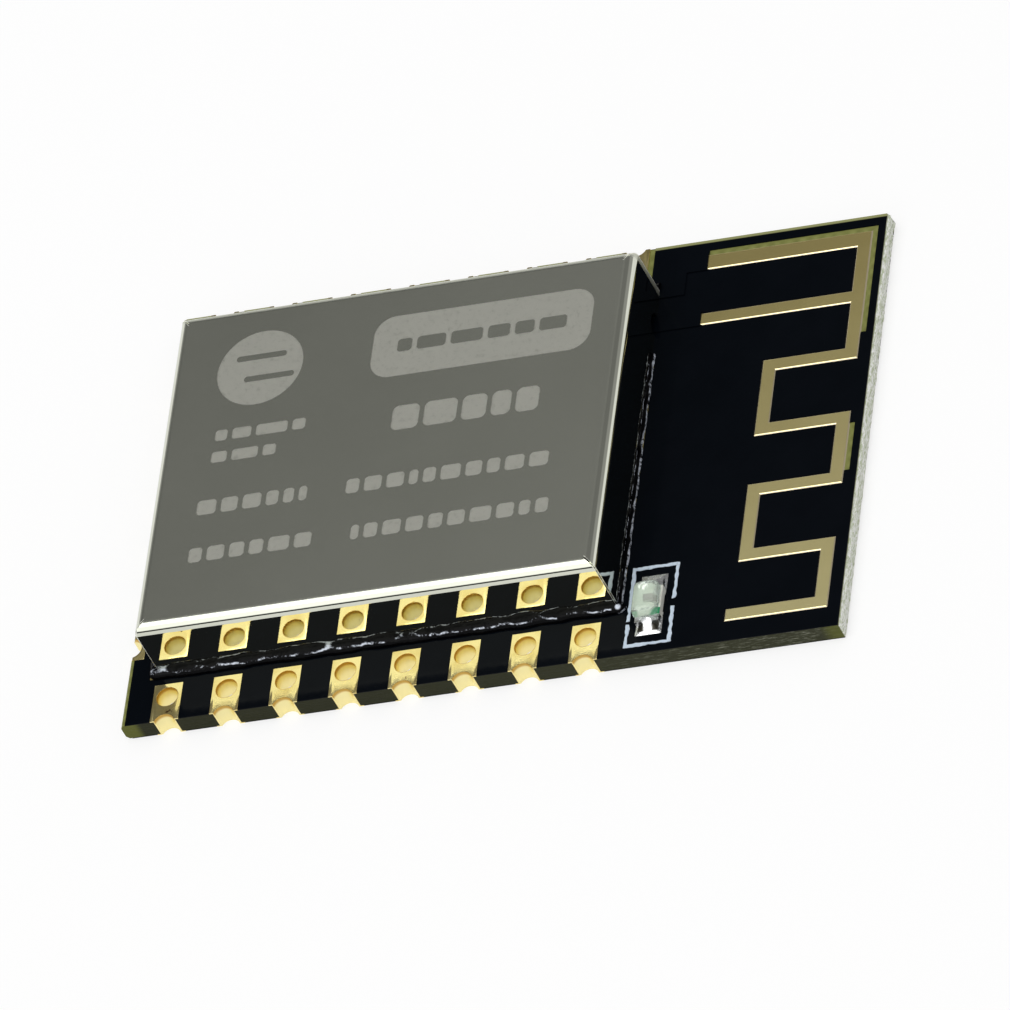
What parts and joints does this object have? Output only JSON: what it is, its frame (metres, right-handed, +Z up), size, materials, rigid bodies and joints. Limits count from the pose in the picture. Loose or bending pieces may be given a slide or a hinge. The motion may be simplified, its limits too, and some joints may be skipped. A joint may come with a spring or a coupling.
{
  "type": "wifi module",
  "caption": "Castellated wireless network module: black circuit board with gold edge pads, a bare meander antenna, an indicator light and a soldered metal shield can.",
  "frame": {"origin": "middle of the board's underside, on the plane of its bottom lands", "axes": "+X along the board towards the antenna end, +Y towards the rear row of pads, +Z up through the shield can"},
  "size_m": [0.024, 0.016, 0.0029],
  "materials": {
    "laminate": "raw sawn and scored glass-epoxy edge",
    "solder_mask": "glossy black printed lacquer",
    "antenna_gold": "thin gold over etched copper, satin",
    "pad_gold": "immersion gold over plated copper, bright",
    "nickel_silver": "rolled satin top with bright bent edges and walls",
    "flux_bead": "dark glassy flux over solder",
    "tin": "bright reflowed solder and tinned ends",
    "white_laminate": "fine white base",
    "green_ink": "matt green ink",
    "light_die": "smooth",
    "milky_lens": "cloudy moulded epoxy",
    "white_ink": "screen-printed ink",
    "black_compound": "fine matt moulding compound",
    "tan_ceramic": "fired ceramic",
    "bright_lid": "seam-welded lid",
    "blue_ceramic": "fired ceramic",
    "black_glaze": "glazed film on ceramic"
  },
  "bodies": {
    "root": {"substrate": "laminate", "solder_mask_top": "solder_mask", "solder_mask_bottom": "solder_mask", "antenna_track": "antenna_gold", "shield_land": "pad_gold", "shield_can": "nickel_silver", "shield_solder": "flux_bead", "led_lands": "pad_gold", "led_terminals": "tin", "led_base": "white_laminate", "led_mark": "green_ink", "led_die": "light_die", "led_lens": "milky_lens", "led_solder": "tin", "printed_bracket": "white_ink", "radio_chip": "black_compound", "radio_chip_leads": "tin", "memory_chip": "black_compound", "memory_chip_leads": "tin", "crystal_base": "tan_ceramic", "crystal_lid": "bright_lid", "small_part_ends": "tin", "inner_lands": "pad_gold", "inner_solder": "tin", "crystal_cap_1": "tan_ceramic", "crystal_cap_2": "tan_ceramic", "supply_cap_1": "tan_ceramic", "supply_cap_2": "tan_ceramic", "match_cap": "tan_ceramic", "match_inductor": "blue_ceramic", "pull_up_1": "black_glaze", "pull_up_2": "black_glaze", "pad_front_1": "pad_gold", "pad_front_2": "pad_gold", "pad_front_3": "pad_gold", "pad_front_4": "pad_gold", "pad_front_5": "pad_gold", "pad_front_6": "pad_gold", "pad_front_7": "pad_gold", "pad_front_8": "pad_gold", "pad_rear_1": "pad_gold", "pad_rear_2": "pad_gold", "pad_rear_3": "pad_gold", "pad_rear_4": "pad_gold", "pad_rear_5": "pad_gold", "pad_rear_6": "pad_gold", "pad_rear_7": "pad_gold", "pad_rear_8": "pad_gold", "pad_end_1": "pad_gold", "pad_end_2": "pad_gold", "pad_end_3": "pad_gold", "pad_end_4": "pad_gold", "pad_end_5": "pad_gold", "pad_end_6": "pad_gold"}
  },
  "joints": []
}
